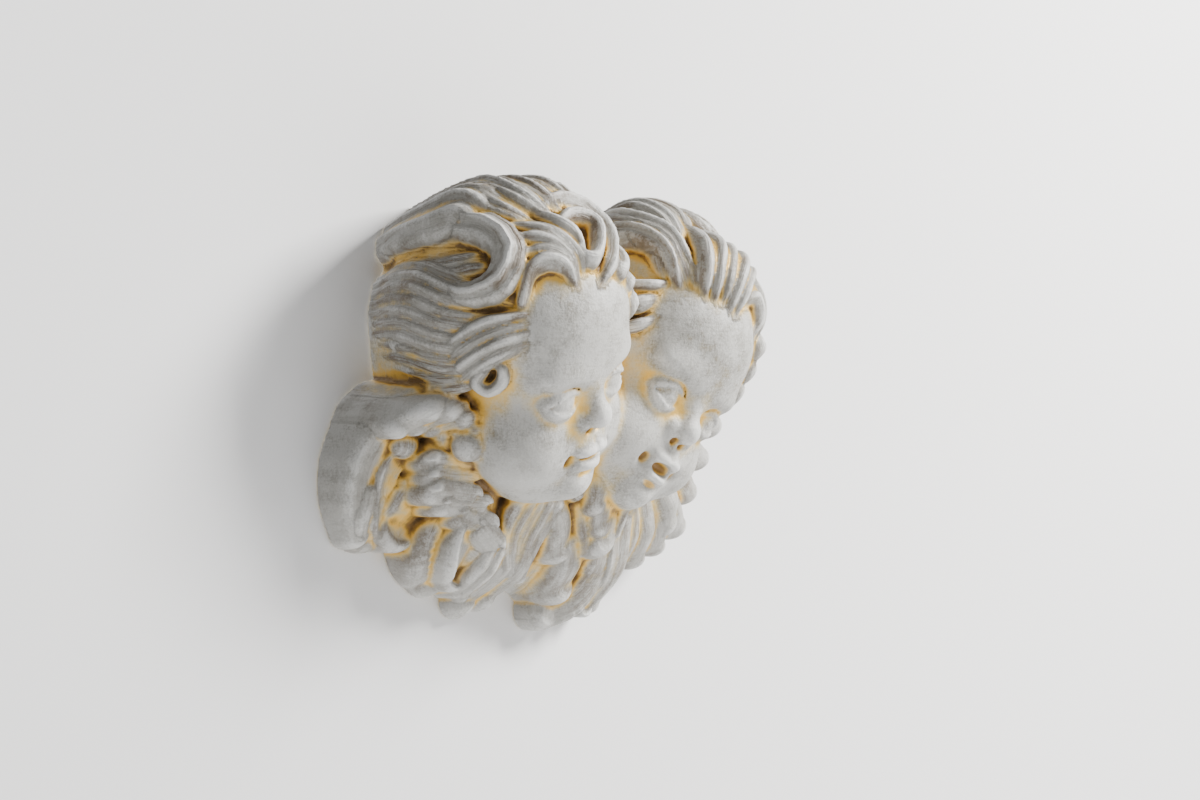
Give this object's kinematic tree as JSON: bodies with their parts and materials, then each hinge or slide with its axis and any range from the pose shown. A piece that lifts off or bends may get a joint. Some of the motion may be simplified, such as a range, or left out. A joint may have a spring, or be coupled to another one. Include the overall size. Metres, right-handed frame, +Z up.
{
  "type": "cherub wall plaque",
  "caption": "Cast wall plaque of cherub heads side by side over spread wings, flat back, hung on a nail.",
  "frame": {"origin": "on the flat back, on the vertical line that the plaque hangs level from, between the two heads at about eye height", "axes": "+Y into the wall, square to the flat back; the heads look towards -Y; +Z up; +X to the viewer's right"},
  "size_m": [0.2711, 0.1, 0.2018],
  "materials": {
    "plaster": "matt painted plaster, grey over ochre in the hollows"
  },
  "bodies": {
    "root": {"plaque": "plaster"}
  },
  "joints": []
}
